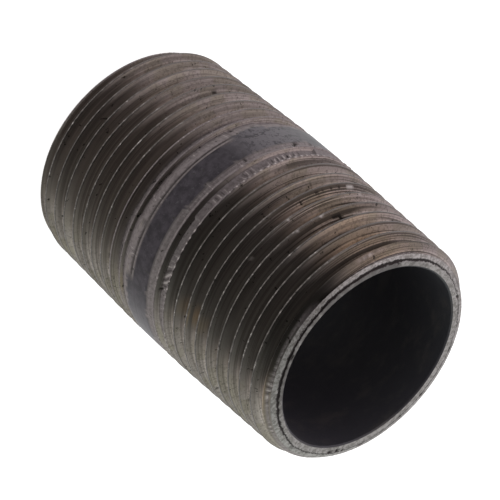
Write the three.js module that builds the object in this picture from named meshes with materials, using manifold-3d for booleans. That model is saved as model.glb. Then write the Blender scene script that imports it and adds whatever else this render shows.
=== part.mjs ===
// Threaded pipe nipple: a short length of steel pipe with a right-hand taper pipe thread on each end.
//
// Lengths are millimetres and +Z is up. The nipple stands on its lower end, and the origin is the middle
// of that end's face. The real nipple is one piece of pipe: it is turned, bored and chamfered as a blank,
// and then a die cuts the thread from each end and lifts off the pipe as it stops. The model is made
// the same way: the die's teeth are bevelled on the side that leads, so the last grooves of each thread
// keep their width but get shallower, with a sloping bottom that runs out at the pipe's own skin.

import * as THREE from 'three';
import { mergeVertices } from 'three/addons/utils/BufferGeometryUtils.js';
import Module from 'manifold-3d';

// Pipe: nominal one inch pipe of standard wall, cut two inches long
const nippleLength = 50.8;
const pipeDiameter = 33.4;
const wallThickness = 3.38;

// Ends of the pipe
const endFaceWidth = 1.45;
const reamWidth = 0.15;
const reamDepth = 0.15;
const chamferLength = 2.2;

// Taper pipe thread: 11.5 turns to the inch, 60 degree sides, 1 in 16 taper on the diameter
const threadPitch = 2.2087;
const threadAngle = THREE.MathUtils.degToRad(60);
const diameterTaper = 1 / 16;
const crestWidth = 0.18;
const wholeCrestLength = 20;
const upperFullThread = 19.8;
const lowerFullThread = 17;
const runoutLength = 5.3;

// Where each groove's middle leaves its end face, seen from outside that end
const upperStartTurn = 277.5 / 360;
const lowerStartTurn = 320.8 / 360;

// How far a cutting body reaches past what it cuts
const cutterOverrun = 0.6;

// Facets round the pipe, shared by the blank and both threads so that their edges line up
const facetsPerTurn = 56;

// Sizes that follow from those above
const pipeRadius = pipeDiameter / 2;
const boreRadius = pipeRadius - wallThickness;
const mouthRadius = boreRadius + reamWidth;
const endFaceRadius = mouthRadius + endFaceWidth;
const grooveWidth = threadPitch - crestWidth;
const grooveDepth = grooveWidth / 2 / Math.tan(threadAngle / 2);
const radiusTaper = diameterTaper / 2;

const wasm = await Module();
wasm.setup();

/** A closed three.js geometry as a solid that can be joined and cut. */
function toSolid(geometry) {
  geometry.deleteAttribute('normal');
  geometry.deleteAttribute('uv');
  const merged = mergeVertices(geometry);
  const mesh = new wasm.Mesh({
    numProp: 3,
    vertProperties: new Float32Array(merged.attributes.position.array),
    triVerts: new Uint32Array(merged.index.array),
  });
  return new wasm.Manifold(mesh);
}

/** A solid as a three.js geometry with flat facets. */
function toGeometry(solid) {
  const mesh = solid.getMesh();
  const shared = new THREE.BufferGeometry();
  shared.setAttribute('position', new THREE.BufferAttribute(mesh.vertProperties, mesh.numProp));
  shared.setIndex(new THREE.BufferAttribute(mesh.triVerts, 1));
  const faceted = shared.toNonIndexed();
  faceted.computeVertexNormals();
  return faceted;
}

/** A solid of revolution about Z from a closed profile of [radius, height] pairs. */
function turned(profile) {
  const points = [...profile, profile[0]].map(([radius, height]) => new THREE.Vector2(radius, height));
  return toSolid(new THREE.LatheGeometry(points, facetsPerTurn).rotateX(Math.PI / 2));
}

/** The pipe before threading: bored, reamed at both mouths and chamfered outside. */
function pipeBlank() {
  return turned([
    [endFaceRadius, 0],
    [pipeRadius, chamferLength],
    [pipeRadius, nippleLength - chamferLength],
    [endFaceRadius, nippleLength],
    [mouthRadius, nippleLength],
    [boreRadius, nippleLength - reamDepth],
    [boreRadius, reamDepth],
    [mouthRadius, 0],
  ]);
}

/** Radius over the crests at a distance in from the end face. */
function crestRadius(inward) {
  return pipeRadius + (inward - wholeCrestLength) * radiusTaper;
}

/**
 * The screw that the die leaves behind: a solid whose skin is the thread, with its end face at height 0
 * and the thread running down from it. Its skin is one strip, three edges wide, wound round the axis.
 */
function threadScrew(threadLength, startTurn) {
  const turnsBelow = Math.ceil((threadLength + cutterOverrun) / threadPitch) + 1;
  const turnsAbove = Math.ceil(cutterOverrun / threadPitch) + 2;
  const steps = (turnsBelow + turnsAbove) * facetsPerTurn;
  const edges = [
    { offset: -grooveWidth / 2, sunk: 0 },
    { offset: 0, sunk: grooveDepth },
    { offset: grooveWidth / 2, sunk: 0 },
  ];
  const positions = [];
  const triangles = [];

  const addVertex = (step, edge) => {
    const angle = (step / facetsPerTurn) * 2 * Math.PI;
    const height = threadPitch * (step / facetsPerTurn - turnsBelow - startTurn) + edge.offset;
    const radius = crestRadius(-height) - edge.sunk;
    positions.push(radius * Math.cos(angle), radius * Math.sin(angle), height);
  };
  for (let step = 0; step <= steps + facetsPerTurn; step += 1) {
    for (const edge of edges) addVertex(step, edge);
  }

  const vertex = (step, edge) => {
    const turnsUp = Math.floor(edge / edges.length);
    return (step + turnsUp * facetsPerTurn) * edges.length + (edge % edges.length);
  };
  for (let step = 0; step < steps; step += 1) {
    for (let edge = 0; edge < edges.length; edge += 1) {
      const low = vertex(step, edge);
      const high = vertex(step, edge + 1);
      const nextLow = vertex(step + 1, edge);
      const nextHigh = vertex(step + 1, edge + 1);
      triangles.push(low, nextLow, nextHigh, low, nextHigh, high);
    }
  }

  // Each end is closed by a fan from the axis to the last turn's edge and the step in it
  const rim = (first) => {
    const loop = [];
    for (let step = 0; step <= facetsPerTurn; step += 1) loop.push(vertex(first + step, 0));
    for (let edge = edges.length - 1; edge > 0; edge -= 1) loop.push(vertex(first, edge));
    return loop;
  };
  const addFan = (loop, height, facesUp) => {
    const middle = positions.length / 3;
    positions.push(0, 0, height);
    loop.forEach((from, place) => {
      const to = loop[(place + 1) % loop.length];
      triangles.push(middle, ...(facesUp ? [from, to] : [to, from]));
    });
  };
  const lowest = positions[2];
  const highest = positions[3 * vertex(steps + facetsPerTurn, 0) + 2];
  addFan(rim(0), lowest, false);
  addFan(rim(steps), highest, true);

  const geometry = new THREE.BufferGeometry();
  geometry.setAttribute('position', new THREE.Float32BufferAttribute(positions, 3));
  geometry.setIndex(triangles);
  return toSolid(geometry);
}

/** What the die takes off the blank at one end: a ring round the end, less the screw that it leaves. */
function dieWaste(fullThread, startTurn) {
  const ringRadius = pipeRadius + cutterOverrun;
  const threadEnd = fullThread + runoutLength;
  const ring = turned([
    [0, -threadEnd],
    [ringRadius, -threadEnd],
    [ringRadius, cutterOverrun],
    [0, cutterOverrun],
  ]);
  // The cone that the bevelled teeth can't reach below
  const bevelCone = turned([
    [0, -threadEnd - cutterOverrun],
    [crestRadius(threadEnd), -threadEnd - cutterOverrun],
    [crestRadius(threadEnd), -threadEnd],
    [crestRadius(fullThread) - grooveDepth, -fullThread],
    [0, -fullThread],
  ]);
  return ring.subtract(threadScrew(threadEnd, startTurn)).subtract(bevelCone);
}

/** The finished nipple: the blank with a thread cut from each end, the lower one turned end for end. */
function threadedNipple() {
  const upperWaste = dieWaste(upperFullThread, upperStartTurn).translate([0, 0, nippleLength]);
  const lowerWaste = dieWaste(lowerFullThread, lowerStartTurn).rotate([180, 0, 0]);
  return toGeometry(pipeBlank().subtract(upperWaste).subtract(lowerWaste));
}

const blackSteel = new THREE.MeshStandardMaterial({ color: 0x5a534c, roughness: 0.45, metalness: 0.85 });
const pipeNipple = new THREE.Mesh(threadedNipple(), blackSteel);
pipeNipple.name = 'pipe_nipple';

const nipple = new THREE.Group();
nipple.add(pipeNipple);

export default nipple;
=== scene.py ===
"""Threaded pipe nipple: its cut threads, lacquered middle, sawn ends and bore, in plain studio light.

Sizes in the dataclasses are millimetres. The mesh is turned into metres once, when it is made.
"""

import logging
import math
from dataclasses import dataclass
from enum import Enum

import bpy
import numpy as np
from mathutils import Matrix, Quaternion, Vector


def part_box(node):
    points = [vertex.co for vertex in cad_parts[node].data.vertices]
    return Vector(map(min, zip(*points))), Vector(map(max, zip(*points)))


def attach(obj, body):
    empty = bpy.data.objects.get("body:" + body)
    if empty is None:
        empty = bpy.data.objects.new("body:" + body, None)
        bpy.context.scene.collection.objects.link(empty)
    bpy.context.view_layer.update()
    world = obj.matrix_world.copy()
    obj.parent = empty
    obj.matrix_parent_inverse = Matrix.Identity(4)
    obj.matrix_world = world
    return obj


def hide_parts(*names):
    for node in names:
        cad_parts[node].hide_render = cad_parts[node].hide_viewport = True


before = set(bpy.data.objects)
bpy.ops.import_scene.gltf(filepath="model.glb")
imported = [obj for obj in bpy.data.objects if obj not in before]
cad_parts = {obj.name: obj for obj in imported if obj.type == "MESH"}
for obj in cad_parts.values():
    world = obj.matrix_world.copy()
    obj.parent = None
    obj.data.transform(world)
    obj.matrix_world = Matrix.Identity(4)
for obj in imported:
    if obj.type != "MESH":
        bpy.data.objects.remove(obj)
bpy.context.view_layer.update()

LOG = logging.getLogger("nipple")
MM = 0.001
NODE = "pipe_nipple"
BAKE_MAP = "OFBake"
# Where in the noise each end's burr lies, so that the two ends differ
UPPER_END = 0.0
LOWER_END = 20.0


class Zone(Enum):
    """The stretches of skin that carry their own finish, by material index."""

    THREAD = 0
    RIM = 1
    BORE = 2


class Mask(Enum):
    """The point attributes that the finishes read."""

    ALONG = "along"
    ACROSS = "across"
    CREST = "crest"
    SCRAPED = "scraped"
    LACQUERED = "lacquered"
    PITS_AND_SHADE = "pits_and_shade"
    CHIPPED = "chipped"
    TANNED = "tanned"
    FROM_BURR = "from_burr"
    TORN = "torn"
    STAIN_AND_SHADE = "stain_and_shade"
    PAINTED_SIDE_LIGHT = "painted_side_light"
    SUNK = "sunk"
    CHATTERED = "chattered"
    PALER_LACQUER = "paler_lacquer"
    STREAKED = "streaked"
    PAINTED_FILL_LIGHT = "painted_fill_light"
    LINED = "lined"


def smooth_step(low: float, high: float, value: np.ndarray) -> np.ndarray:
    """A soft step from 0 at low to 1 at high.

    Args:
        low: Where the step starts.
        high: Where it ends. It may be below low, and then the step falls.
        value: The numbers to step over.

    Returns:
        Numbers from 0 to 1, in the shape of value.
    """
    share = np.clip((value - low) / (high - low), 0.0, 1.0)
    return share * share * (3.0 - 2.0 * share)


def turns_apart(turn: np.ndarray, middle: float) -> np.ndarray:
    """How far each place is round the pipe from the middle, from -0.5 to 0.5 turns."""
    return (turn - middle + 0.5) % 1.0 - 0.5


@dataclass(frozen=True)
class RingNoise:
    """Smooth seeded noise over the pipe's skin, which meets itself after a whole turn."""

    seed: int
    cells_round: int
    cell_length: float
    reach: float = 60.0

    def at(self, turn: np.ndarray, height: np.ndarray) -> np.ndarray:
        """Noise from -1 to 1.

        Args:
            turn: Place round the pipe, in turns.
            height: Place along the pipe, in millimetres, from -reach to 2 reach.

        Returns:
            One number for each place.
        """
        rows = int(3.0 * self.reach / self.cell_length) + 3
        lattice = np.random.default_rng(self.seed).uniform(-1.0, 1.0, (self.cells_round, rows))
        across = (turn % 1.0) * self.cells_round
        along = np.clip((height + self.reach) / self.cell_length, 0.0, rows - 2.001)
        left = np.floor(across).astype(int)
        below = np.floor(along).astype(int)
        right_share = smooth_step(0.0, 1.0, across - left)
        above_share = smooth_step(0.0, 1.0, along - below)
        left %= self.cells_round
        right = (left + 1) % self.cells_round
        low = lattice[left, below] * (1.0 - right_share) + lattice[right, below] * right_share
        high = lattice[left, below + 1] * (1.0 - right_share) + lattice[right, below + 1] * right_share
        return low * (1.0 - above_share) + high * above_share


@dataclass(frozen=True)
class StrandNoise:
    """Smooth seeded noise that runs on along the thread, with a strand of its own for each row of points."""

    seed: int
    cells_per_turn: float
    most_turns: int = 64

    def at(self, along: np.ndarray, strand: np.ndarray) -> np.ndarray:
        """Noise from -1 to 1.

        Args:
            along: Place along the thread, in turns, from minus most_turns to most_turns.
            strand: Which strand each place is on.

        Returns:
            One number for each place.
        """
        cells = int(2 * self.most_turns * self.cells_per_turn) + 3
        strands = int(strand.max()) + 1
        lattice = np.random.default_rng(self.seed).uniform(-1.0, 1.0, (strands, cells))
        place = (along + self.most_turns) * self.cells_per_turn
        left = np.floor(place).astype(int)
        share = smooth_step(0.0, 1.0, place - left)
        return lattice[strand, left] * (1.0 - share) + lattice[strand, left + 1] * share


@dataclass(frozen=True)
class Sector:
    """A stretch round the pipe, in degrees, over its whole length unless the heights of a step are given."""

    middle: float
    reach: float
    core: float = 0.0
    low: float = -2.0
    high: float = -1.0

    def share(self, turn: np.ndarray, height: np.ndarray | float = 0.0) -> np.ndarray:
        """How strongly each place lies in the sector.

        Args:
            turn: Place round the pipe, in turns.
            height: Place along the pipe, in millimetres.

        Returns:
            1 in the core, which is a share of the reach, and above the step, and less towards the edges.
        """
        beside = 360.0 * np.abs(turns_apart(turn, self.middle / 360.0))
        around = smooth_step(self.reach, self.core * self.reach, beside)
        return around * smooth_step(self.low, self.high, height)


@dataclass(frozen=True)
class ThreadCut:
    """How one die cut its thread.

    Each of its cutters stopped at its own place round the pipe, and left a small step there.
    """

    start_turn: float
    way: float
    first_stop: float
    runout_length: float
    whole_lengths: tuple[float, ...]

    def whole_length(self, turn: np.ndarray, pitch: float) -> np.ndarray:
        """Length of thread before the bevelled teeth start to leave it shallow.

        Args:
            turn: Place round the pipe, in turns.
            pitch: The thread's pitch.

        Returns:
            The length at each place.
        """
        cutters = len(self.whole_lengths)
        since = ((turn - self.first_stop) * self.way % 1.0) * cutters
        cutter = np.floor(since).astype(int) % cutters
        return np.array(self.whole_lengths)[cutter] - pitch * (since % 1.0) / cutters


@dataclass(frozen=True)
class PipeSizes:
    """The nipple's sizes, and the surfaces that they give.

    They are the solid's, but for small details at the mouth, the end faces' edges, the grooves' roots and
    the run-outs.
    """

    length: float
    radius: float
    wall: float = 3.38
    mouth_width: float = 0.2
    mouth_depth: float = 0.15
    bevel_depth: float = 0.3
    bevel_swing: float = 0.2
    shoulder_slope: float = 1.6
    filled: Sector = Sector(222.0, 42.0, 0.3)
    most_filled: float = 0.6
    chamfer_start: float = 14.92
    chamfer_length: float = 2.2
    pitch: float = 2.2087
    flank_angle: float = math.radians(30.0)
    radius_taper: float = 1.0 / 32.0
    crest_width: float = 0.18
    root_flat: float = 0.09
    whole_crest_length: float = 20.0
    upper: ThreadCut = ThreadCut(277.5 / 360.0, 1.0, 274.6 / 360.0, 4.7, (20.2, 20.1, 20.3, 19.9, 20.25))
    lower: ThreadCut = ThreadCut(320.8 / 360.0, -1.0, 289.8 / 360.0, 5.3, (17.1, 17.3, 17.0, 17.2, 17.1))

    @property
    def bore_radius(self) -> float:
        """Radius of the bore."""
        return self.radius - self.wall

    @property
    def mouth_radius(self) -> float:
        """Radius of the deburred mouth at the end face."""
        return self.bore_radius + self.mouth_width

    @property
    def bevel_radius(self) -> float:
        """Outer radius of the rolled edge, where the chamfer takes over."""
        return self.chamfer_radius(self.bevel_depth)

    def bevel_depth_at(self, turn: np.ndarray) -> np.ndarray:
        """Depth of the rolled edge, deepest towards -Y and least towards +Y."""
        return self.bevel_depth - self.bevel_swing * (0.5 + 0.5 * np.sin(2.0 * math.pi * turn))

    @property
    def groove_depth(self) -> float:
        """Depth of a whole groove below its crests."""
        return (self.pitch - self.crest_width) / 2.0 / math.tan(self.flank_angle)

    def runout_slope(self, cut: ThreadCut) -> float:
        """Rise of the groove's bottom for each millimetre of run-out."""
        return self.groove_depth / cut.runout_length

    def chamfer_radius(self, inward: np.ndarray) -> np.ndarray:
        """Radius of the outside chamfer at a distance in from the end."""
        return self.chamfer_start + inward * (self.radius - self.chamfer_start) / self.chamfer_length

    def crest_cone(self, inward: np.ndarray) -> np.ndarray:
        """Radius over the crests at a distance in from the thread's own end."""
        return self.radius + (inward - self.whole_crest_length) * self.radius_taper

    def blank_radius(self, height: np.ndarray) -> np.ndarray:
        """Radius of the turned and chamfered pipe, less what the die's roots took off its crests."""
        inward = np.minimum(height, self.length - height)
        return np.minimum(np.minimum(self.radius, self.chamfer_radius(inward)), self.crest_cone(inward))

    def root_radius(self, height: np.ndarray) -> np.ndarray:
        """Radius of the whole groove's root at a height."""
        return self.crest_cone(np.minimum(height, self.length - height)) - self.groove_depth

    def bottom_radius(self, height: np.ndarray, turn: np.ndarray) -> np.ndarray:
        """Radius that the dies' teeth can't reach below.

        Args:
            height: Place along the pipe.
            turn: Place round the pipe, in turns.

        Returns:
            The root's radius, or the sloping bottom's in the run-out.
        """
        lowest = []
        for cut, inward in ((self.upper, self.length - height), (self.lower, height)):
            shallow = (inward - cut.whole_length(turn, self.pitch)) * self.runout_slope(cut)
            lowest.append(self.crest_cone(inward) - self.groove_depth + np.maximum(self.root_flat, shallow))
        return np.minimum(*lowest)


@dataclass(frozen=True)
class SkinGrid:
    """How finely the skin is divided.

    On the outside a row runs round the pipe as the thread does, so that crests and roots lie along rows. From
    one groove's middle to the next there is half its bottom, a flank, the crest, a flank and half the next
    one's bottom. The ends and the bore are rings.
    """

    steps_round: int = 360
    bottom_rows: int = 2
    flank_shares: tuple[float, ...] = (0.3, 0.55, 0.78, 0.93)
    crest_rows: int = 3
    pitches: int = 26
    end_gap: float = 0.02
    sharp_angle: float = math.radians(24.0)
    bevel_shares: tuple[float, ...] = (0.0, 0.2, 0.45, 0.65, 0.8, 0.92)
    flat_shares: tuple[float, ...] = (0.0, 0.06, 0.14, 0.24, 0.4, 0.6, 0.8)
    bore_rings: int = 44

    @property
    def crest_start(self) -> int:
        """Row of the crest's upper edge."""
        return self.bottom_rows + len(self.flank_shares) + 1

    @property
    def crest_end(self) -> int:
        """Row of the crest's lower edge."""
        return self.crest_start + self.crest_rows

    @property
    def rows_per_pitch(self) -> int:
        """Rows from one root to the next."""
        return 2 * self.crest_start + self.crest_rows


@dataclass
class Patch:
    """A stretch of skin as arrays of steps round the pipe by rows, with what the finishes read."""

    turn: np.ndarray
    radius: np.ndarray
    height: np.ndarray
    masks: dict[Mask, np.ndarray]

    def points(self) -> np.ndarray:
        """The points as X, Y and Z."""
        angle = self.turn * 2.0 * math.pi
        return np.stack([self.radius * np.cos(angle), self.radius * np.sin(angle), self.height], axis=-1)

    def run(self) -> np.ndarray:
        """Mean distance over the skin from the first row to each row."""
        points = self.points()
        lengths = np.linalg.norm(points[:, 1:] - points[:, :-1], axis=-1).mean(axis=0)
        return np.concatenate([[0.0], np.cumsum(lengths)])


@dataclass(frozen=True)
class Mark:
    """A pit, nick, chip or patch: where it lies, how large it is and how it leans."""

    angle: float
    place: float
    width: float
    length: float
    lean: float = 0.0
    depth: float = 0.12


@dataclass(frozen=True)
class Score:
    """A last light cut beside the band: a sunk line painted with shade, and a bright ridge above it, between
    two angles.
    """

    first: float
    last: float
    place: float
    drop: float
    fade: float = 6.0
    reach: float = 0.1
    depth: float = 0.09
    bare_width: float = 1.2


@dataclass(frozen=True)
class WearAndLight:
    """The marks that cutting and handling left, and where shade and light are painted. Lengths are
    millimetres.
    """

    run_out_start: float = 0.12
    run_out_whole: float = 0.3
    off_bottom: float = 0.1
    on_bottom: float = 0.02
    off_crest: float = 0.03
    on_crest: float = 0.01
    crest_ragged: float = 0.02
    flank_ridge: float = 0.0015
    flank_wave: float = 0.001
    ridges: StrandNoise = StrandNoise(14, 7.0)
    fine_ridges: StrandNoise = StrandNoise(15, 29.0)
    tears: StrandNoise = StrandNoise(16, 90.0)
    waves: RingNoise = RingNoise(18, 60, 0.35)
    band_soft: float = 0.05
    band_ragged: float = 0.05
    band_edge: RingNoise = RingNoise(11, 90, 1.1)
    band_torn: float = 0.06
    band_tears: RingNoise = RingNoise(17, 260, 0.5)
    chatter_depth: float = 0.07
    chatter_marks_round: int = 98
    chatter_slant: float = 0.22
    chatter_jitter: RingNoise = RingNoise(12, 60, 0.9)
    chatter_strength: RingNoise = RingNoise(13, 40, 1.5)
    fine_marks_round: int = 236
    fine_below: float = 28.0
    fine_share: float = 0.3
    # Painted shade on the flanks round 284°; the other sides get painted light instead
    painted_front_shade: Sector = Sector(284.0, 52.0, 0.5)
    # The first turn is darker round 283°: partly stain, partly painted shade in the first groove
    stain_and_shade: Sector = Sector(283.0, 40.0, 0.5)
    tanned: Sector = Sector(227.0, 36.0, 0.0, 24.0, 46.0)
    lined: Sector = Sector(222.0, 45.0, 0.4, 24.0, 34.0)
    least_lined: float = 0.42
    # Painted fill light on the side round 350° and on the lower thread
    painted_fill_light: Sector = Sector(350.0, 38.0, 0.4)
    fill_light_top: float = 27.0
    fill_light_foot: float = 20.0
    # The lacquer is paler round 219° and 350°
    paler_lacquer: Sector = Sector(219.0, 27.0, 0.2)
    far_paler_lacquer: Sector = Sector(350.0, 38.0)
    far_paleness: float = 0.5
    pit_seed: int = 21
    scattered_pits: int = 80
    pitted_angles: tuple[float, float] = (-50.0, 240.0)
    pit_widths: tuple[float, float] = (0.12, 0.4)
    pit_lengths: tuple[float, float] = (0.12, 0.3)
    pit_leans: tuple[float, float] = (-0.6, 0.6)
    unpitted_end: float = 0.8
    pits: tuple[Mark, ...] = (
        Mark(212.3, 26.75, 0.75, 1.3, 0.9, 0.2),
        Mark(220.8, 28.85, 0.7, 1.1, 0.8, 0.2),
        Mark(240.0, 26.85, 0.5, 0.55, 0.0, 0.14),
        Mark(232.7, 20.7, 0.65, 0.5, 0.5, 0.18),
        Mark(228.0, 41.12, 1.9, 0.34, 0.0, 0.08),
        Mark(225.2, 41.24, 1.0, 0.34, 0.0, 0.08),
        Mark(226.6, 36.44, 0.5, 0.24, 0.0, 0.1),
        Mark(222.7, 36.36, 0.45, 0.16, 0.0, 0.06),
        Mark(217.8, 36.34, 0.5, 0.18, 0.0, 0.06),
        Mark(213.4, 36.34, 0.4, 0.16, 0.0, 0.06),
        Mark(259.1, 30.6, 0.45, 0.3, 0.0, 0.1),
        Mark(216.9, 11.6, 1.0, 0.3, 0.0, 0.12),
        Mark(205.1, 3.33, 0.9, 0.5, 0.6, 0.12),
        Mark(332.9, 46.35, 0.8, 0.5, -0.6, 0.12),
        Mark(318.0, 17.3, 1.8, 0.26, 0.1, 0.1),
        Mark(321.0, 16.84, 0.8, 0.3, 0.3, 0.1),
        Mark(311.0, 19.1, 1.4, 0.24, 0.2, 0.1),
        Mark(236.0, 36.67, 0.6, 0.24, 0.0, 0.1),
        Mark(200.0, 34.9, 0.9, 0.4, 0.5, 0.12),
        Mark(262.0, 31.0, 0.3, 0.3, 0.0, 0.08),
    )
    scores: tuple[Score, ...] = (
        Score(234.0, 292.0, 22.83, 0.36),
        Score(288.0, 320.0, 23.3, 0.46),
    )
    tan_patches: tuple[Mark, ...] = (
        Mark(318.0, 49.9, 14.0, 2.6),
        Mark(326.0, 20.4, 6.0, 4.4),
        Mark(312.0, 35.0, 5.0, 9.0),
    )
    chips: tuple[Mark, ...] = (
        Mark(248.2, 38.6, 0.42, 0.3),
        Mark(249.4, 40.82, 0.4, 0.26),
        Mark(271.8, 38.9, 0.8, 0.14),
        Mark(235.6, 40.72, 0.45, 0.22),
        Mark(269.5, 45.4, 0.25, 0.2, 0.8),
        Mark(206.2, 38.42, 1.5, 0.12),
        Mark(206.2, 36.3, 1.6, 0.12),
    )
    burr_radius: float = 14.42
    burr_depth: float = 0.13
    burr_width: float = 0.12
    burr_wander: float = 0.07
    burr_waves: RingNoise = RingNoise(31, 36, 5.0)
    burr_ragged: float = 0.8
    burr_tears: RingNoise = RingNoise(32, 150, 5.0)
    burr_shift: float = -0.28
    burr_shifted: Sector = Sector(318.0, 62.0)
    burr_torn: Sector = Sector(270.0, 100.0, 0.5)
    least_torn: float = 0.2
    torn_patches: RingNoise = RingNoise(33, 120, 5.0)
    rim_rough: float = 0.02
    rim_grain: RingNoise = RingNoise(34, 260, 0.5)
    rim_streaks: StrandNoise = StrandNoise(35, 22.0)
    rim_nicks: tuple[Mark, ...] = (
        Mark(31.0, 14.3, 0.8, 0.6),
        Mark(36.0, 14.2, 0.7, 0.75),
        Mark(40.0, 14.4, 0.6, 0.4),
        Mark(52.0, 14.6, 0.9, 0.3),
        Mark(77.8, 14.4, 0.7, 0.5),
        Mark(93.5, 14.4, 0.6, 0.5),
        Mark(122.0, 14.5, 1.2, 0.3),
        Mark(156.5, 14.35, 0.7, 0.55),
        Mark(218.0, 14.0, 0.6, 0.35),
        Mark(296.0, 13.8, 0.9, 0.3),
    )


@dataclass(frozen=True)
class Outside:
    """The threaded outside, in rows that wind round the pipe as the thread does."""

    sizes: PipeSizes
    grid: SkinGrid
    wear_and_light: WearAndLight

    def groove_height(self, wound: np.ndarray) -> np.ndarray:
        """Height of the groove's middle.

        Both threads wind the same way but start apart, so the skin between them stretches by what they
        differ.

        Args:
            wound: How far the groove has wound down from the top, in turns.

        Returns:
            Height of the groove's middle, in millimetres above the lower end.
        """
        sizes = self.sizes
        top = sizes.length - sizes.pitch * sizes.upper.start_turn
        apart = (top - sizes.pitch * sizes.lower.start_turn) % sizes.pitch
        upper_end = sizes.length - sizes.upper.whole_lengths[0] - sizes.upper.runout_length
        lower_end = sizes.lower.whole_lengths[0] + sizes.lower.runout_length
        middle = (top - (upper_end + lower_end) / 2.0) / sizes.pitch
        return top - sizes.pitch * wound - apart * smooth_step(middle - 0.25, middle + 0.25, wound)

    def half_width(self, middle: np.ndarray) -> np.ndarray:
        """Half the width of the groove where it meets the pipe's skin.

        Args:
            middle: Height of the groove's middle.

        Returns:
            The width of each half.
        """
        sizes = self.sizes
        depth = sizes.blank_radius(middle) - sizes.root_radius(middle)
        half = depth * math.tan(sizes.flank_angle)
        return np.clip(half, sizes.crest_width, (sizes.pitch - sizes.crest_width) / 2.0)

    def half_bottom(self, middle: np.ndarray, turn: np.ndarray, side: float) -> np.ndarray:
        """Half the width of the groove's bottom.

        Args:
            middle: Height of the groove's middle.
            turn: Place round the pipe.
            side: 1 for the half above the middle, -1 for the half below.

        Returns:
            The width of that half.
        """
        sizes = self.sizes
        upper = middle > sizes.length / 2.0 - 1.0
        inward = np.where(upper, sizes.length - middle, middle)
        upper_whole = sizes.upper.whole_length(turn, sizes.pitch)
        whole = np.where(upper, upper_whole, sizes.lower.whole_length(turn, sizes.pitch))
        slope = np.where(upper, sizes.runout_slope(sizes.upper), sizes.runout_slope(sizes.lower))
        spread = math.tan(sizes.flank_angle) * slope
        deeper = np.where(upper, side, -side)
        width = spread * (inward - whole) / (1.0 + deeper * spread)
        least = sizes.root_flat * math.tan(sizes.flank_angle)
        return np.clip(width, least, 0.9 * self.half_width(middle))

    def row_heights(
        self, turn: np.ndarray, feature: np.ndarray, upper: np.ndarray, lower: np.ndarray
    ) -> np.ndarray:
        """Heights of the rows between two grooves.

        Args:
            turn: Place round the pipe.
            feature: Which row between the two roots.
            upper: Height of the upper groove's middle.
            lower: Height of the lower groove's middle.

        Returns:
            Height of each row: over half the upper groove's bottom, down its flank, over the crest and down
            to the middle of the lower groove.
        """
        grid = self.grid
        corner = upper - self.half_bottom(upper, turn, -1.0)
        crest_top = upper - self.half_width(upper)
        crest_foot = lower + self.half_width(lower)
        next_corner = lower + self.half_bottom(lower, turn, 1.0)
        shares = np.array([0.0, *grid.flank_shares, 1.0])
        bottom, start, end = grid.bottom_rows, grid.crest_start, grid.crest_end
        down = np.interp(feature, np.arange(bottom, start + 1), shares)
        back = np.interp(feature, np.arange(end, end + len(shares)), 1.0 - shares[::-1])
        height = upper + (corner - upper) * np.clip(feature / bottom, 0.0, 1.0)
        height = height + (crest_top - corner) * down
        height = height + (crest_foot - crest_top) * np.clip((feature - start) / grid.crest_rows, 0.0, 1.0)
        height = height + (next_corner - crest_foot) * back
        last = np.clip((feature - (grid.rows_per_pitch - bottom)) / bottom, 0.0, 1.0)
        return height + (lower - next_corner) * last

    def make(self) -> Patch:
        """Places every point of the outside, cut and worn.

        Returns:
            The patch. Its rows reach past both ends, and what lies past them is left out of the mesh.
        """
        sizes, grid = self.sizes, self.grid
        per_pitch = grid.rows_per_pitch
        shape = (grid.steps_round, per_pitch * grid.pitches)
        turn = np.broadcast_to(np.arange(grid.steps_round)[:, None] / grid.steps_round, shape)
        above = int((grid.pitches - sizes.length / sizes.pitch) / 2.0)
        row = np.arange(shape[1])[None, :] - above * per_pitch
        feature = np.broadcast_to(row % per_pitch, shape)
        wound = row // per_pitch - turn
        upper_middle = self.groove_height(wound)
        lower_middle = self.groove_height(wound + 1.0)
        height = self.row_heights(turn, feature, upper_middle, lower_middle)
        nearest = np.minimum(np.abs(height - upper_middle), np.abs(height - lower_middle))
        flank = sizes.root_radius(height) + nearest / math.tan(sizes.flank_angle)
        bottom = sizes.bottom_radius(height, turn)
        inward = np.minimum(height, sizes.length - height)
        slope = sizes.shoulder_slope * (1.0 - sizes.most_filled * sizes.filled.share(turn))
        shoulder = sizes.bevel_radius - slope * np.maximum(inward - sizes.bevel_depth, 0.0)
        bottom = np.maximum(bottom, shoulder)
        radius = np.minimum(sizes.blank_radius(height), np.maximum(flank, bottom))
        from_crest = (row - grid.crest_start - grid.crest_rows / 2.0) / per_pitch
        along = np.floor(from_crest) - turn
        across = np.broadcast_to(from_crest % 1.0, shape)
        patch = Patch(turn, radius, height, {Mask.ALONG: along, Mask.ACROSS: across})
        self.tint(patch)
        self.wear_down(patch, feature, bottom)
        self.score(patch)
        self.pit(patch)
        return patch

    def tint(self, patch: Patch) -> None:
        """Tells where shade and light are painted, where the first turn darkens, and where tan, tool lines
        and paler lacquer lie.

        Args:
            patch: The plain cut skin. It gets one mask for each.
        """
        sizes, wear_and_light, turn, height = self.sizes, self.wear_and_light, patch.turn, patch.height
        first_turn = smooth_step(sizes.length - sizes.pitch, sizes.length - 0.5 * sizes.pitch, height)
        tan_patches = [self.spot(patch, tan, 0.0) for tan in wear_and_light.tan_patches]
        # Painted fill light on the lower thread
        fill_light_below = smooth_step(wear_and_light.fill_light_top, wear_and_light.fill_light_foot, height)
        far_paleness = wear_and_light.far_paleness * wear_and_light.far_paler_lacquer.share(turn)
        # Painted shade round 284°, painted light on the other sides
        patch.masks[Mask.PAINTED_SIDE_LIGHT] = 1.0 - wear_and_light.painted_front_shade.share(turn)
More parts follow.
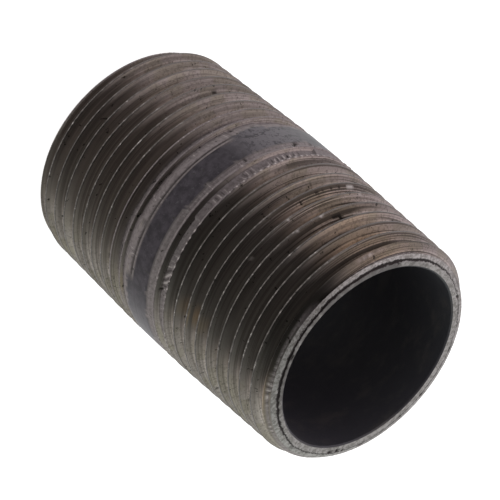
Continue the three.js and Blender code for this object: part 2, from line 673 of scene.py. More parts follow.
        # Darker first turn round 283°: partly stain, partly painted shade
        patch.masks[Mask.STAIN_AND_SHADE] = wear_and_light.stain_and_shade.share(turn) * first_turn
        patch.masks[Mask.TANNED] = np.maximum.reduce([wear_and_light.tanned.share(turn, height), *tan_patches])
        patch.masks[Mask.LINED] = wear_and_light.least_lined + (1.0 - wear_and_light.least_lined) * wear_and_light.lined.share(turn, height)
        # Painted fill light round 350° and on the lower thread
        patch.masks[Mask.PAINTED_FILL_LIGHT] = np.maximum(wear_and_light.painted_fill_light.share(turn), fill_light_below)
        patch.masks[Mask.PALER_LACQUER] = np.maximum(wear_and_light.paler_lacquer.share(turn), far_paleness)

    def wear_down(self, patch: Patch, feature: np.ndarray, bottom: np.ndarray) -> None:
        """Adds the cutters' marks to the skin, and tells crests, scraped bottoms and lacquer apart.

        Args:
            patch: The plain cut skin.
            feature: Which row between two roots each point is on.
            bottom: Radius of the grooves' bottom at each point.
        """
        sizes, wear_and_light = self.sizes, self.wear_and_light
        turn, height, along = patch.turn, patch.height, patch.masks[Mask.ALONG]
        blank = sizes.blank_radius(height)
        sunk = (blank - patch.radius) / sizes.groove_depth
        ragged = wear_and_light.band_ragged * wear_and_light.band_edge.at(turn, height)
        ragged = ragged + wear_and_light.band_torn * wear_and_light.band_tears.at(turn, height)
        band = smooth_step(0.0, wear_and_light.band_soft, bottom - blank + ragged)
        shallow = smooth_step(wear_and_light.run_out_start, wear_and_light.run_out_whole, bottom - sizes.root_radius(height))
        level = smooth_step(wear_and_light.off_bottom, wear_and_light.on_bottom, patch.radius - bottom)
        on_top = smooth_step(wear_and_light.off_crest, wear_and_light.on_crest, sunk)
        flat = np.maximum(level * shallow, on_top)
        scraped = flat * shallow * (1.0 - band)
        inward = np.minimum(height, sizes.length - height)
        whole = smooth_step(0.6, 1.0, inward / sizes.chamfer_length)
        patch.masks[Mask.SUNK] = np.clip(sunk, 0.0, 1.0)
        patch.masks[Mask.LACQUERED] = band
        patch.masks[Mask.SCRAPED] = scraped
        patch.masks[Mask.CREST] = on_top * (1.0 - shallow) * whole

        coarse = height > wear_and_light.fine_below
        marks = turn * np.where(coarse, wear_and_light.chatter_marks_round, wear_and_light.fine_marks_round)
        marks = marks + height * wear_and_light.chatter_slant + 0.45 * wear_and_light.chatter_jitter.at(turn, height)
        strength = 0.55 + 0.45 * wear_and_light.chatter_strength.at(turn, height)
        chatter = np.sin(2.0 * math.pi * marks) * strength
        patch.masks[Mask.CHATTERED] = 0.5 + np.where(coarse, 0.5, wear_and_light.fine_share) * chatter
        ridges = wear_and_light.ridges.at(along, feature) + 0.5 * wear_and_light.fine_ridges.at(along, feature)
        torn = np.maximum(wear_and_light.tears.at(along, feature), 0.0)
        flank = (1.0 - flat) * smooth_step(0.0, 0.25, sunk)
        sink = wear_and_light.flank_ridge * ridges * flank + wear_and_light.crest_ragged * torn * on_top
        sink = (sink + wear_and_light.flank_wave * wear_and_light.waves.at(turn, height)) * (1.0 - band)
        depth = wear_and_light.chatter_depth * np.where(coarse, 1.0, wear_and_light.fine_share)
        patch.radius = patch.radius - sink - depth * chatter * scraped

    def score(self, patch: Patch) -> None:
        """Cuts the last light lines beside the band, and bares the steel below each.

        Args:
            patch: The worn skin.
        """
        patch.masks[Mask.PITS_AND_SHADE] = np.zeros_like(patch.radius)
        for score in self.wear_and_light.scores:
            angle = patch.turn * 360.0
            middle = (score.first + score.last) / 2.0
            half = (score.last - score.first) / 2.0
            there = smooth_step(half, half - score.fade, np.abs(angle - middle))
            above = patch.height - score.place - self.sizes.pitch * (angle - middle) / 360.0
            ridge = smooth_step(score.reach, 0.3 * score.reach, np.abs(above)) * there
            line = smooth_step(1.6 * score.reach, 0.4 * score.reach, np.abs(above + score.drop)) * there
            bared = smooth_step(score.reach, 0.0, above) * there
            patch.masks[Mask.LACQUERED] = patch.masks[Mask.LACQUERED] * (1.0 - bared)
            beside = bared * (above > -score.bare_width)
            patch.masks[Mask.SCRAPED] = np.maximum(patch.masks[Mask.SCRAPED], beside)
            # Painted shade in the score's sunk line
            patch.masks[Mask.PITS_AND_SHADE] = np.maximum(patch.masks[Mask.PITS_AND_SHADE], 0.8 * line)
            patch.radius = patch.radius + score.depth * (0.3 * ridge - line)

    def spot(self, patch: Patch, mark: Mark, core: float = 0.6) -> np.ndarray:
        """How strongly each point lies in a mark.

        Args:
            patch: The skin.
            mark: The mark.
            core: Share of the mark's half width that lies wholly in it.

        Returns:
            Numbers from 0 outside the mark to 1 in its core.
        """
        along = patch.height - mark.place
        across = turns_apart(patch.turn, mark.angle / 360.0) * 2.0 * math.pi * self.sizes.radius
        across = across - mark.lean * along
        return smooth_step(1.0, core, np.hypot(across / mark.width, along / mark.length) * 2.0)

    def pit(self, patch: Patch) -> None:
        """Sinks the pits into the skin, and bares the chips.

        Args:
            patch: The worn skin.
        """
        wear_and_light = self.wear_and_light
        dice = np.random.default_rng(wear_and_light.pit_seed)
        pits = list(wear_and_light.pits)
        for _ in range(wear_and_light.scattered_pits):
            angle = dice.uniform(*wear_and_light.pitted_angles)
            place = dice.uniform(wear_and_light.unpitted_end, self.sizes.length - wear_and_light.unpitted_end)
            width = dice.uniform(*wear_and_light.pit_widths)
            length = dice.uniform(*wear_and_light.pit_lengths)
            pits.append(Mark(angle, place, width, length, dice.uniform(*wear_and_light.pit_leans)))
        pits_and_shade = patch.masks[Mask.PITS_AND_SHADE]
        sink = np.zeros_like(patch.radius)
        for mark in pits:
            spot = self.spot(patch, mark)
            pits_and_shade = np.maximum(pits_and_shade, spot)
            sink = np.maximum(sink, mark.depth * spot)
        patch.radius = patch.radius - sink
        patch.masks[Mask.PITS_AND_SHADE] = pits_and_shade
        patch.masks[Mask.CHIPPED] = np.maximum.reduce([self.spot(patch, chip) for chip in wear_and_light.chips])


@dataclass(frozen=True)
class EndsAndBore:
    """Both end faces with their rolled edges and burrs, and the bore between them, in rings."""

    sizes: PipeSizes
    grid: SkinGrid
    wear_and_light: WearAndLight

    def burr_radius(self, turn: np.ndarray, end: float) -> np.ndarray:
        """Radius of the burr's ragged line.

        Args:
            turn: Place round the pipe.
            end: A different number for each end, so that their burrs differ.

        Returns:
            The radius at each place.
        """
        wear_and_light = self.wear_and_light
        there = np.full_like(turn, end)
        wander = wear_and_light.burr_waves.at(turn, there) + wear_and_light.burr_ragged * wear_and_light.burr_tears.at(turn, there)
        return wear_and_light.burr_radius + wear_and_light.burr_wander * wander + wear_and_light.burr_shift * wear_and_light.burr_shifted.share(turn)

    def end_rings(self, turn: np.ndarray, end: float) -> tuple[np.ndarray, np.ndarray]:
        """The rings over one end, from the rolled edge's foot to the mouth's edge.

        Args:
            turn: Place round the pipe, one column.
            end: A different number for each end.

        Returns:
            Each ring's radius, and its depth below the end face.
        """
        sizes = self.sizes
        burr = self.burr_radius(turn, end)
        bevel_depth = sizes.bevel_depth_at(turn)
        bevel_radius = sizes.chamfer_radius(bevel_depth)
        bevel = np.array(self.grid.bevel_shares)[None, :]
        flat = np.array(self.grid.flat_shares)[None, :]
        radius = np.concatenate(
            [
                bevel_radius + (burr - bevel_radius) * bevel,
                burr + (sizes.mouth_radius - burr) * flat,
                np.full_like(turn, sizes.mouth_radius),
            ],
            axis=1,
        )
        level = np.zeros((len(turn), len(self.grid.flat_shares) + 1))
        return radius, np.concatenate([bevel_depth * (1.0 - bevel), level], axis=1)

    def make(self) -> Patch:
        """Places every point of both ends and of the bore.

        Returns:
            The patch, from the upper end's outer edge through the bore to the lower end's outer edge.
        """
        sizes, grid, wear_and_light = self.sizes, self.grid, self.wear_and_light
        turn = np.arange(grid.steps_round)[:, None] / grid.steps_round
        down = np.linspace(sizes.mouth_depth, sizes.length - sizes.mouth_depth, grid.bore_rings)[None, :]
        bore = np.broadcast_to(sizes.length - down, (grid.steps_round, grid.bore_rings))
        top_radius, top_depth = self.end_rings(turn, UPPER_END)
        foot_radius, foot_depth = self.end_rings(turn, LOWER_END)
        height = np.concatenate([sizes.length - top_depth, bore, foot_depth[:, ::-1]], axis=1)
        bore_radius = np.full_like(bore, sizes.bore_radius)
        radius = np.concatenate([top_radius, bore_radius, foot_radius[:, ::-1]], axis=1)
        turn = np.broadcast_to(turn, radius.shape)
        upper = height > sizes.length / 2.0
        end = np.where(upper, UPPER_END, LOWER_END)
        from_burr = radius - self.burr_radius(turn, end)
        torn = wear_and_light.least_torn + (1.0 - wear_and_light.least_torn) * wear_and_light.burr_torn.share(turn)
        torn = torn * (0.8 + 0.2 * wear_and_light.torn_patches.at(turn, end))
        patch = Patch(turn, radius, height, {Mask.FROM_BURR: from_burr, Mask.TORN: torn})
        nicked = np.zeros_like(radius)
        for nick in wear_and_light.rim_nicks:
            across = turns_apart(turn, nick.angle / 360.0) * 2.0 * math.pi * wear_and_light.burr_radius
            away = np.hypot(across / nick.width, (radius - nick.place) / nick.length) * 2.0
            nicked = np.maximum(nicked, np.where(upper, smooth_step(1.0, 0.4, away), 0.0))
        ring = np.broadcast_to(np.arange(radius.shape[1])[None, :], radius.shape)
        patch.masks[Mask.STREAKED] = 0.5 + 0.5 * wear_and_light.rim_streaks.at(turn, ring)
        line = np.exp(-((from_burr / wear_and_light.burr_width) ** 2)) * torn
        rough = np.maximum(wear_and_light.rim_grain.at(turn, from_burr), 0.0)
        on_end = radius > sizes.mouth_radius + 0.01
        sink = np.where(on_end, wear_and_light.burr_depth * np.maximum(line, nicked) + wear_and_light.rim_rough * rough, 0.0)
        patch.height = height + np.where(upper, -sink, sink)
        patch.masks[Mask.PITS_AND_SHADE] = nicked
        return patch


class FaceList:
    """Faces, with the place of each of their corners on the map."""

    def __init__(self) -> None:
        """Starts with no faces."""
        self.faces: list[list[int]] = []
        self.places: list[list[tuple[float, float]]] = []
        self.zones: list[int] = []

    def add(self, zone: Zone, *corners: tuple[int, float, float]) -> None:
        """Adds one face.

        Args:
            zone: The finish it carries.
            *corners: The point's number and its place on the map, for each corner.
        """
        self.faces.append([point for point, _, _ in corners])
        self.places.append([(across, up) for _, across, up in corners])
        self.zones.append(zone.value)


class NippleBody:
    """The nipple itself, as one closed skin."""

    def __init__(self, sizes: PipeSizes, grid: SkinGrid, wear_and_light: WearAndLight) -> None:
        """Makes both parts of the skin.

        Args:
            sizes: The nipple's sizes.
            grid: How finely the skin is divided.
            wear_and_light: The marks on it, and its painted shade and light.
        """
        self.sizes = sizes
        self.grid = grid
        self.outside = Outside(sizes, grid, wear_and_light).make()
        self.inside = EndsAndBore(sizes, grid, wear_and_light).make()

    def weave(self) -> FaceList:
        """Joins the points into faces.

        Returns:
            The faces of the outside, of the rings, and of the strips that join the two.
        """
        sizes, grid = self.sizes, self.grid
        steps, rows = self.outside.radius.shape
        rings = self.inside.radius.shape[1]
        run, ring_run = self.outside.run(), self.inside.run()
        whole_run = run[-1] + ring_run[-1]
        low = sizes.bevel_depth + grid.end_gap
        used = (self.outside.height < sizes.length - low) & (self.outside.height > low)
        used = np.vstack([used, np.roll(used[0], grid.rows_per_pitch)])
        index = np.arange(steps * rows).reshape(steps, rows)
        index = np.vstack([index, np.roll(index[0], grid.rows_per_pitch)])
        first = used.argmax(axis=1)
        last = rows - 1 - used[:, ::-1].argmax(axis=1)
        faces = FaceList()

        def skin(step: int, row: int) -> tuple[int, float, float]:
            """A point of the outside, and its place on the map."""
            return int(index[step, row]), step / steps, run[row] / whole_run

        def ring(step: int, row: int) -> tuple[int, float, float]:
            """A point of the ends or the bore, and its place on the map."""
            point = steps * rows + (step % steps) * rings + row
            return point, step / steps, (run[-1] + ring_run[row]) / whole_run

        def edge(step: int, row: int, beside: int) -> tuple[int, float, float]:
            """A point of an end's outer ring, with the place on the map that a row of the outside has."""
            return ring(step, row)[0], step / steps, run[beside] / whole_run

        for step in range(steps):
            after = step + 1
            for row in range(max(first[step], first[after]), min(last[step], last[after])):
                corners = skin(step, row), skin(step, row + 1), skin(after, row + 1), skin(after, row)
                faces.add(Zone.THREAD, *corners)
            top, next_top = first[step], first[after]
            faces.add(
                Zone.THREAD,
                edge(step, 0, top - 1),
                skin(step, top),
                skin(after, next_top),
                edge(after, 0, next_top - 1),
            )
            for row in range(top, next_top):
                faces.add(Zone.THREAD, skin(step, row), skin(step, row + 1), skin(after, next_top))
            foot, next_foot = last[step], last[after]
            faces.add(
                Zone.THREAD,
                skin(step, foot),
                edge(step, rings - 1, foot + 1),
                edge(after, rings - 1, next_foot + 1),
                skin(after, next_foot),
            )
            for row in range(foot, next_foot):
                faces.add(Zone.THREAD, skin(step, foot), skin(after, row + 1), skin(after, row))
            ends = len(grid.bevel_shares) + len(grid.flat_shares) + 1
            for row in range(rings - 1):
                zone = Zone.BORE if ends - 1 <= row < rings - ends else Zone.RIM
                faces.add(zone, ring(step, row), ring(after, row), ring(after, row + 1), ring(step, row + 1))
        return faces

    def build(self) -> bpy.types.Object:
        """Makes the nipple's mesh.

        Returns:
            The object, with its masks, its map and the material index of every face.
        """
        woven = self.weave()
        patches = (self.outside, self.inside)
        points = np.concatenate([patch.points().reshape(-1, 3) for patch in patches]) * MM
        kept = np.unique([point for face in woven.faces for point in face])
        number = np.zeros(len(points), int)
        number[kept] = np.arange(len(kept))
        mesh = bpy.data.meshes.new("threaded_nipple")
        mesh.from_pydata(points[kept].tolist(), [], [number[face].tolist() for face in woven.faces])
        mesh.polygons.foreach_set("material_index", woven.zones)
        for mask in Mask:
            values = [patch.masks.get(mask, np.zeros_like(patch.radius)).reshape(-1) for patch in patches]
            attribute = mesh.attributes.new(mask.value, "FLOAT", "POINT")
            attribute.data.foreach_set("value", np.concatenate(values)[kept].astype(np.float32))
        layer = mesh.uv_layers.new(name=BAKE_MAP)
        places = [share for face in woven.places for place in face for share in place]
        layer.data.foreach_set("uv", np.array(places, np.float32))
        mesh.shade_smooth()
        mesh.set_sharp_from_angle(angle=self.grid.sharp_angle)
        nipple = bpy.data.objects.new("threaded_nipple", mesh)
        bpy.context.scene.collection.objects.link(nipple)
        return nipple


class Value:
    """A number that a node gives, on which sums add Math nodes."""

    def __init__(self, tree: "Nodes", socket: bpy.types.NodeSocket) -> None:
        """Keeps the socket and the tree that it belongs to."""
        self.tree = tree
        self.socket = socket

    def _sum(self, operation: str, first: "Value | float", second: "Value | float") -> "Value":
        """Adds one Math node."""
        return self.tree.value("ShaderNodeMath", {"operation": operation}, {0: first, 1: second})

    def __add__(self, other: "Value | float") -> "Value":
        """self + other."""
        return self._sum("ADD", self, other)

    __radd__ = __add__

    def __sub__(self, other: "Value | float") -> "Value":
        """self - other."""
        return self._sum("SUBTRACT", self, other)

    def __rsub__(self, other: float) -> "Value":
        """other - self."""
        return self._sum("SUBTRACT", other, self)

    def __mul__(self, other: "Value | float") -> "Value":
        """self * other."""
        return self._sum("MULTIPLY", self, other)

    __rmul__ = __mul__

    def __abs__(self) -> "Value":
        """Distance from zero."""
        return self._sum("ABSOLUTE", self, 0.0)

    def ramp(self, low: float, high: float, start: float = 0.0, end: float = 1.0) -> "Value":
        """A soft step over this value.

        Args:
            low: Where the step starts. It may be above high.
            high: Where it ends.
            start: The number at low.
            end: The number at high.

        Returns:
            Numbers from start to end.
        """
        return self.tree.value(
            "ShaderNodeMapRange",
            {"interpolation_type": "SMOOTHSTEP"},
            {"Value": self, "From Min": low, "From Max": high, "To Min": start, "To Max": end},
        )


Colour = tuple[float, float, float]


class Nodes:
    """Adds nodes to one material, or to the world."""

    def __init__(self, owner: bpy.types.Material | bpy.types.World, shader: str = "Principled BSDF") -> None:
        """Starts from the owner's own shader node."""
        owner.use_nodes = True
        self.tree = owner.node_tree
        self.shader = self.tree.nodes[shader]

    def node(self, kind: str, settings: dict[str, object], inputs: dict[str | int, object]) -> bpy.types.Node:
        """Adds a node.

        Args:
            kind: The node's type.
            settings: Its own settings, set first.
            inputs: Values or links for its sockets.

        Returns:
            The node.
        """
        node = self.tree.nodes.new(kind)
        for name, setting in settings.items():
            setattr(node, name, setting)
        for name, given in inputs.items():
            self.feed(node.inputs[name], given)
        return node

    def feed(self, socket: bpy.types.NodeSocket, given: object) -> None:
        """Sets a socket to a value, or links it.

        Args:
            socket: The socket.
            given: A number, a colour, or what to link.
        """
        if isinstance(given, Value):
            self.tree.links.new(given.socket, socket)
        elif isinstance(given, bpy.types.NodeSocket):
            self.tree.links.new(given, socket)
        elif isinstance(given, tuple) and socket.type == "RGBA":
            socket.default_value = (*given, 1.0)
        else:
            socket.default_value = given

    def value(self, kind: str, settings: dict[str, object], inputs: dict[str | int, object]) -> Value:
        """Adds a node and gives the number at its first output."""
        return Value(self, self.node(kind, settings, inputs).outputs[0])

    def mask(self, mask: Mask) -> Value:
        """The mesh's own mask."""
        node = self.node("ShaderNodeAttribute", {"attribute_name": mask.value}, {})
        return Value(self, node.outputs["Fac"])

    def place(self, across: float, along: float) -> bpy.types.NodeSocket:
        """The point on the object, scaled across and along the pipe.

        Args:
            across: Cells per millimetre across the pipe's axis.
            along: Cells per millimetre along it.

        Returns:
            The scaled place, for a texture.
        """
        coordinates = self.node("ShaderNodeTexCoord", {}, {})
        inputs = {0: coordinates.outputs["Object"], 1: (across / MM, across / MM, along / MM)}
        return self.node("ShaderNodeVectorMath", {"operation": "MULTIPLY"}, inputs).outputs[0]

    def noise(self, across: float, along: float, detail: float = 2.0, roughness: float = 0.5) -> Value:
        """Noise over the object.

        Args:
            across: Cells per millimetre across the pipe's axis.
            along: Cells per millimetre along it.
            detail: How many finer layers it has.
            roughness: How strong each finer layer is.

        Returns:
            Numbers from 0 to 1.
        """
        return self.value(
            "ShaderNodeTexNoise",
            {},
            {"Vector": self.place(across, along), "Scale": 1.0, "Detail": detail, "Roughness": roughness},
        )

    def strand(self, across: float, along: float, detail: float = 1.0, roughness: float = 0.5) -> Value:
        """Noise in strands that follow the thread.

        Args:
            across: Cells per pitch.
            along: Cells per turn.
            detail: How many finer layers it has.
            roughness: How strong each finer layer is.

        Returns:
            Numbers from 0 to 1.
        """
        strand = self.mask(Mask.ACROSS) * across
        turns = self.mask(Mask.ALONG) * along
        place = self.node("ShaderNodeCombineXYZ", {}, {0: strand, 1: turns})
        return self.value(
            "ShaderNodeTexNoise",
            {},
            {"Vector": place.outputs[0], "Scale": 1.0, "Detail": detail, "Roughness": roughness},
        )

    def blend(self, share: Value | float, first: object, second: object) -> bpy.types.NodeSocket:
        """A colour between two, as share goes from 0 to 1."""
        node = self.node("ShaderNodeMix", {"data_type": "RGBA"}, {"Factor": share, 6: first, 7: second})
        return node.outputs[2]

    def bump(self, height: Value, distance: float, strength: float = 1.0) -> bpy.types.NodeSocket:
        """A normal bent by a height from 0 to 1 that stands for a distance in millimetres."""
        inputs = {"Height": height, "Distance": distance * MM, "Strength": strength}
        return self.node("ShaderNodeBump", {}, inputs).outputs["Normal"]

    def finish(self, **inputs: object) -> None:
        """Feeds the principled shader, with underscores for the spaces in its sockets' names."""
        for name, given in inputs.items():
            self.feed(self.shader.inputs[name.replace("_", " ").title()], given)


@dataclass(frozen=True)
class ThreadFinish:
    """Oiled die-cut steel with its tool lines and stains, painted shade and painted light, and the pipe's
    lacquer between the threads.
    """

    # Painted shade: the flanks near their crests round 284°
    painted_front_shade: Colour = (0.168, 0.149, 0.138)
    # Painted shade round 284°, paler under the painted fill light
    paler_front_shade: Colour = (0.22, 0.188, 0.172)
    steel: Colour = (0.28, 0.236, 0.222)
    # The near-crest steel under the painted fill light
    painted_fill_light: Colour = (0.25, 0.214, 0.2)
    # Painted light: deep in the grooves on the sides, where less light falls
    painted_side_light: Colour = (0.7, 0.6, 0.56)
    # Painted light deep in the grooves under the painted fill light
    brightest: Colour = (0.58, 0.5, 0.465)
    tanned: Colour = (0.265, 0.203, 0.15)
    # Painted light deep in the grooves where the steel is tanned
    deep_tan: Colour = (0.61, 0.475, 0.365)
    olive: Colour = (0.2, 0.175, 0.12)
    # Dark for grime and tool lines, and painted shade at the roots
    stain_and_shade: Colour = (0.05, 0.04, 0.033)
    crest: Colour = (0.16, 0.143, 0.135)
    dim_crest: Colour = (0.08, 0.072, 0.067)
    # Painted shade on the crests at the sides
    side_crest: Colour = (0.11, 0.097, 0.091)
    # Painted glints on the crests
    bright: Colour = (0.5, 0.47, 0.45)
    scraped: Colour = (0.2, 0.172, 0.172)
    smeared: Colour = (0.12, 0.1, 0.1)
    thick_lacquer: Colour = (0.016, 0.012, 0.016)
    lacquer: Colour = (0.036, 0.029, 0.036)
    worn_lacquer: Colour = (0.06, 0.052, 0.06)
    pale_lacquer: Colour = (0.11, 0.098, 0.108)
    chattered: Colour = (0.42, 0.37, 0.36)
    torn: Colour = (0.07, 0.058, 0.058)
    pit: Colour = (0.02, 0.017, 0.015)
    chip: Colour = (0.42, 0.39, 0.37)

    def flank(self, nodes: Nodes, painted_side_light: Value, tool_lines: Value) -> bpy.types.NodeSocket:
        """Colour of the cut flanks, with light painted deep in the grooves, where less light falls, and shade
        painted at their roots.

        Args:
            nodes: The material's nodes.
            painted_side_light: Where light is painted, on the sides away from the painted shade round 284°.
            tool_lines: Where the cutters' fine lines run.

        Returns:
            The colour of steel with painted shade round 284° and painted light on the other sides, tanned,
            darker on the first turn, and lined.
        """
        # Where the fill light is painted
        painted_fill_light = nodes.mask(Mask.PAINTED_FILL_LIGHT)
        sunk = nodes.mask(Mask.SUNK)
        tan = nodes.mask(Mask.TANNED) * nodes.strand(11.0, 1.3, detail=2.0).ramp(0.3, 0.5)
        # Painted shade on the flanks round 284°; plain steel on the other sides
        front_steel = nodes.blend(painted_fill_light, self.painted_front_shade, self.paler_front_shade)
        side_steel = nodes.blend(painted_fill_light, self.steel, self.painted_fill_light)
        near = nodes.blend(tan, nodes.blend(painted_side_light, front_steel, side_steel), self.tanned)
        # Painted light: the deeper parts of the flanks are lighter on the sides, where less light falls
        deep = nodes.blend(tan, nodes.blend(painted_fill_light, self.painted_side_light, self.brightest), self.deep_tan)
        steel = nodes.blend(sunk.ramp(0.1, 0.9) * painted_side_light, near, deep)

        olive = nodes.noise(0.3, 0.3, detail=2.0).ramp(0.46, 0.58) * painted_side_light
        grime = nodes.noise(2.6, 2.6, detail=3.0, roughness=0.7).ramp(0.5, 0.62) * painted_side_light
        # Painted shade at the roots of the grooves
        root = sunk.ramp(0.82, 0.96) * nodes.strand(2.3, 3.0, detail=2.0).ramp(0.4, 0.55, 0.3)
        bands = nodes.strand(11.0, 0.6, detail=2.0, roughness=0.6).ramp(0.44, 0.54)
        bands = bands * nodes.mask(Mask.LINED)
        steel = nodes.blend(olive * 0.4, steel, self.olive)
        for dark in (grime * 0.42, root * 0.9, bands * 0.4, tool_lines * 0.9):
            steel = nodes.blend(dark, steel, self.stain_and_shade)
        # The first turn round 283°: partly stain, partly painted shade
        return nodes.blend(nodes.mask(Mask.STAIN_AND_SHADE) * 0.85, steel, self.pit)

    def ridge(self, nodes: Nodes, painted_side_light: Value, sparkle: Value) -> bpy.types.NodeSocket:
        """Colour of the crests.

        Args:
            nodes: The material's nodes.
            painted_side_light: Where light is painted on the flanks, and where the crests get painted shade.
            sparkle: Noise in which the crests are bright.

        Returns:
            The colour, with painted glints that stay mostly round 284°, and painted shade on the other sides.
        """
        ridge = nodes.blend(sparkle.ramp(0.45, 0.6), self.dim_crest, self.crest)
        # Painted glints on the crests
        ridge = nodes.blend(sparkle.ramp(0.62, 0.7) * 0.7, ridge, self.bright)
        # Painted shade on the crests at the sides
        return nodes.blend(painted_side_light * 0.75, ridge, self.side_crest)

    def bare(self, nodes: Nodes, smears: Value) -> bpy.types.NodeSocket:
        """Colour of the scraped bottoms at the run-out.

        Args:
            nodes: The material's nodes.
            smears: Noise in which they are smeared.

        Returns:
            The colour, with the chatter marks' light and dark sides.
        """
        chatter = nodes.mask(Mask.CHATTERED)
        bare = nodes.blend(smears.ramp(0.4, 0.66) * 0.7, self.scraped, self.smeared)
        bare = nodes.blend(chatter.ramp(0.4, 0.2) * 0.8, bare, self.torn)
        return nodes.blend(chatter.ramp(0.62, 0.78) * 0.8, bare, self.chattered)

    def lacquer_coat(self, nodes: Nodes, smears: Value, sparkle: Value) -> bpy.types.NodeSocket:
        """Colour of the lacquer, thick or thin, worn in smears and paler round 219° and 350°.

        Args:
            nodes: The material's nodes.
            smears: Noise in which the lacquer is worn.
            sparkle: Noise in which the paler lacquer keeps patches of thick lacquer.

        Returns:
            The colour.
        """
        mottle = nodes.noise(0.9, 0.9, detail=4.0, roughness=0.6)
        paler_lacquer = nodes.mask(Mask.PALER_LACQUER)
        coat = nodes.blend(mottle.ramp(0.35, 0.65), self.thick_lacquer, self.lacquer)
        coat = nodes.blend(smears.ramp(0.58, 0.72) * 0.7, coat, self.worn_lacquer)
        # Paler lacquer round 219° and 350°
        coat = nodes.blend(paler_lacquer * 0.8, coat, self.pale_lacquer)
        return nodes.blend(sparkle.ramp(0.52, 0.58) * paler_lacquer * 0.8, coat, self.thick_lacquer)

    def material(self) -> bpy.types.Material:
        """Makes the material.

        Returns:
            The material, with highlights that stretch across the thread as they do on turned steel.
        """
        material = bpy.data.materials.new("oiled_thread_steel")
        nodes = Nodes(material)
        scraped = nodes.mask(Mask.SCRAPED)
        lacquered = nodes.mask(Mask.LACQUERED)
        painted_side_light = nodes.mask(Mask.PAINTED_SIDE_LIGHT)
        tool_lines = nodes.strand(19.0, 1.0, detail=3.0, roughness=0.75).ramp(0.49, 0.52)
        tool_lines = tool_lines * nodes.strand(4.3, 4.0, detail=2.0).ramp(0.36, 0.48) * nodes.mask(Mask.LINED)
        smears = nodes.noise(2.2, 2.2, detail=3.0, roughness=0.65)
        sparkle = nodes.noise(1.6, 1.6, detail=3.0, roughness=0.7)
        flecks = nodes.noise(1.2, 1.2, detail=3.0, roughness=0.6)
        grain = nodes.noise(7.0, 7.0, detail=2.0)

        flank = self.flank(nodes, painted_side_light, tool_lines)
        colour = nodes.blend(nodes.mask(Mask.CREST), flank, self.ridge(nodes, painted_side_light, sparkle))
        colour = nodes.blend(scraped, colour, self.bare(nodes, smears))
        colour = nodes.blend(lacquered, colour, self.lacquer_coat(nodes, smears, sparkle))
        colour = nodes.blend(flecks.ramp(0.65, 0.7) * 0.85, colour, self.pit)
        # Pits, and painted shade in the scores' lines
        colour = nodes.blend(nodes.mask(Mask.PITS_AND_SHADE), colour, self.pit)
        colour = nodes.blend(nodes.mask(Mask.CHIPPED), colour, self.chip)
        relief = grain * 0.6 - tool_lines * (1.0 - lacquered) * 0.4
        nodes.finish(
            base_color=colour,
            roughness=0.36 + tool_lines * 0.1 + scraped * 0.12 + lacquered * 0.04,
            metallic=1.0 - lacquered * 0.35,
            anisotropic=0.85,
            anisotropic_rotation=0.25,
            normal=nodes.bump(relief, 0.012),
        )
        return material


@dataclass(frozen=True)
class RimFinish:
    """The cut end: bare grey steel with a ragged burr, whose line is darkened with painted shade."""

    bare: Colour = (0.36, 0.338, 0.33)
    dull: Colour = (0.2, 0.185, 0.175)
    grimy: Colour = (0.1, 0.09, 0.087)
    # Painted shade for the burr line, and dark for the nicks
    dirt_and_shade: Colour = (0.02, 0.015, 0.015)

    def material(self) -> bpy.types.Material:
        """Makes the material.

        Returns:
            The material, with painted shade along its burr line, grime inside that line, and dark nicks.
        """
        material = bpy.data.materials.new("cut_rim_steel")
        nodes = Nodes(material)
        mottle = nodes.noise(2.0, 2.0, detail=4.0, roughness=0.7)
        grain = nodes.noise(8.0, 8.0, detail=2.0)
        ragged = nodes.noise(3.0, 3.0, detail=3.0, roughness=0.65)
        torn = nodes.mask(Mask.TORN)
        away = abs(nodes.mask(Mask.FROM_BURR) + (ragged - 0.5) * 0.5)
        # Painted shade along the burr line
        line = (away - torn * 0.25).ramp(0.09, -0.05)
        colour = nodes.blend(mottle.ramp(0.4, 0.62), self.bare, self.dull)
        colour = nodes.blend(nodes.mask(Mask.STREAKED).ramp(0.62, 0.9) * 0.6, colour, self.grimy)
        inside = nodes.mask(Mask.FROM_BURR).ramp(0.1, -0.1) * torn.ramp(0.4, 0.95)
        colour = nodes.blend(inside * 0.85, colour, self.grimy)
        # Painted shade along the burr line
        colour = nodes.blend(line, colour, self.dirt_and_shade)
        colour = nodes.blend(nodes.mask(Mask.PITS_AND_SHADE), colour, self.dirt_and_shade)
        nodes.finish(
            base_color=colour,
            roughness=0.42 + mottle * 0.15,
            metallic=0.95,
            normal=nodes.bump(grain + ragged, 0.02),
        )
        return material


@dataclass(frozen=True)
class BoreFinish:
    """The inside: dull black mill skin."""

    skin: Colour = (0.036, 0.033, 0.041)
    worn: Colour = (0.06, 0.053, 0.055)

    def material(self) -> bpy.types.Material:
        """Makes the material.

        Returns:
            The material, with worn streaks.
        """
        material = bpy.data.materials.new("bore_mill_skin")
        nodes = Nodes(material)
        streaks = nodes.noise(0.25, 0.5, detail=3.0, roughness=0.7)
        grain = nodes.noise(4.0, 4.0, detail=2.0)
        nodes.finish(
            base_color=nodes.blend(streaks.ramp(0.45, 0.75), self.skin, self.worn),
            roughness=0.55 + grain * 0.1,
            metallic=0.2,
            normal=nodes.bump(grain, 0.02),
        )
        return material


@dataclass(frozen=True)
class SoftBox:
    """One soft area light, placed by its direction from the nipple."""

    name: str
    azimuth: float
    elevation: float
    distance: float
    width: float
    height: float
    power: float
    colour: Colour


